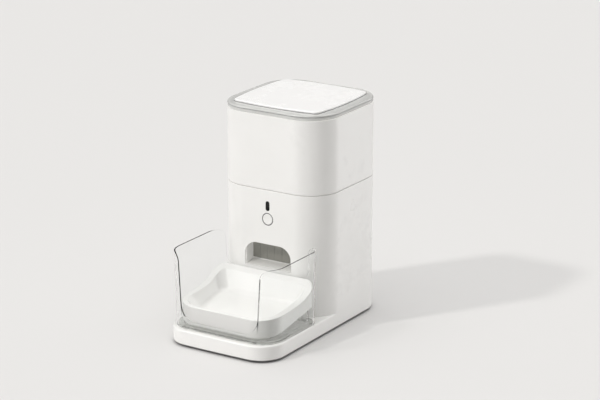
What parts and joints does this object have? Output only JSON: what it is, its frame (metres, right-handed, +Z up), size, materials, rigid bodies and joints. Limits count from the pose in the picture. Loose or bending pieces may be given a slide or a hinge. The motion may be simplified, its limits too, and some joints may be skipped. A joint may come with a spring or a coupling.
{
  "type": "automatic pet feeder",
  "caption": "Tower feeder with a lift-off food bin, rotor dispenser, arched outlet, tilted bowl and clear splash guard.",
  "frame": {"origin": "on the floor, in the middle of the footprint", "axes": "+Z up, -Y towards the pet, +X to the right seen from the front"},
  "size_m": [0.19, 0.33, 0.3452],
  "materials": {
    "white_shell": "satin moulded white",
    "white_bowl": "smooth gloss white",
    "clear_guard": "clear polished plastic",
    "clear_lid": "clear polished plastic, slightly grey",
    "dark_window": "gloss black",
    "dark_ring": "satin dark grey",
    "inner_white": "matt white",
    "cover_grey": "matt charcoal",
    "soft_grey": "soft silicone",
    "flap_grey": "soft silicone, dark",
    "black_rubber": "matt",
    "gear_plastic": "natural acetal",
    "steel": "turned",
    "motor_metal": "plated",
    "board_green": "solder mask",
    "chip_black": "moulded",
    "cell_wrap": "printed sleeve, plain",
    "contact_metal": "nickel plate"
  },
  "bodies": {
    "housing": {"main_housing": "white_shell", "bottom_cover": "cover_grey", "cover_screws": "steel", "rubber_feet": "black_rubber", "battery_door": "cover_grey", "battery_door_screw": "steel", "battery_box": "inner_white", "battery_cells": "cell_wrap", "battery_contacts": "contact_metal", "power_socket": "chip_black", "dispenser_deck": "inner_white", "rotor_cover": "inner_white", "deck_screws": "steel", "outlet_chute": "inner_white", "outlet_flap": "flap_grey", "food_sensors": "chip_black", "motor_bracket": "steel", "gear_motor": "motor_metal", "motor_screws": "steel", "circuit_board": "board_green", "board_chips": "chip_black", "board_standoffs": "steel", "feed_switch": "chip_black", "status_lamp": "chip_black", "status_window": "dark_window", "button_ring": "dark_ring", "catch_spring_left": "steel", "catch_spring_right": "steel"},
    "rotor": {"rotor_hub": "inner_white", "paddle_blades": "soft_grey", "rotor_shaft": "steel", "retaining_clip": "steel", "driven_gear": "gear_plastic", "stirrer": "inner_white"},
    "pinion": {"pinion_gear": "gear_plastic", "motor_shaft": "steel"},
    "feed_button": {"feed_button": "white_shell"},
    "catch_left": {"catch_left": "white_shell"},
    "catch_right": {"catch_right": "white_shell"},
    "hopper": {"hopper_shell": "white_shell", "hopper_funnel": "inner_white"},
    "lid": {"lid_frame": "clear_lid", "lid_plate": "white_shell", "lid_seal": "soft_grey", "desiccant_box": "inner_white", "desiccant_cap": "inner_white"},
    "guard": {"splash_guard": "clear_guard", "bowl_cradle": "clear_guard"},
    "bowl": {"food_bowl": "white_bowl"}
  },
  "joints": [
    {"name": "rotor_spin", "type": "hinge", "parent": "housing", "child": "rotor", "pos_m": [0, 0.06, 0.19], "axis": [0, 0, 1], "continuous": true},
    {"name": "pinion_spin", "type": "hinge", "parent": "housing", "child": "pinion", "pos_m": [0, 0.0964, 0.154], "axis": [0, 0, 1], "continuous": true},
    {"name": "feed_button_press", "type": "slide", "parent": "housing", "child": "feed_button", "axis": [0, 1, 0], "range_m": [0, 0.001], "stiffness_N_per_m": 600, "springref_m": -0.001},
    {"name": "catch_left_press", "type": "slide", "parent": "housing", "child": "catch_left", "axis": [1, 0, 0], "range_m": [0, 0.002], "stiffness_N_per_m": 500, "springref_m": -0.002, "deforming": ["catch_spring_left"]},
    {"name": "catch_right_press", "type": "slide", "parent": "housing", "child": "catch_right", "axis": [-1, 0, 0], "range_m": [0, 0.002], "stiffness_N_per_m": 500, "springref_m": -0.002, "deforming": ["catch_spring_right"]},
    {"name": "hopper_lift", "type": "slide", "parent": "housing", "child": "hopper", "axis": [0, 0, 1], "range_m": [0, 0.1]},
    {"name": "lid_lift", "type": "slide", "parent": "hopper", "child": "lid", "axis": [0, 0, 1], "range_m": [0, 0.06]},
    {"name": "guard_lift", "type": "slide", "parent": "housing", "child": "guard", "axis": [0, 0, 1], "range_m": [0, 0.06]},
    {"name": "bowl_lift", "type": "slide", "parent": "guard", "child": "bowl", "axis": [0, 0, 1], "range_m": [0, 0.06]}
  ],
  "couplings": [
    {"joint": "pinion_spin", "follows": "rotor_spin", "ratio": -3.3333}
  ]
}
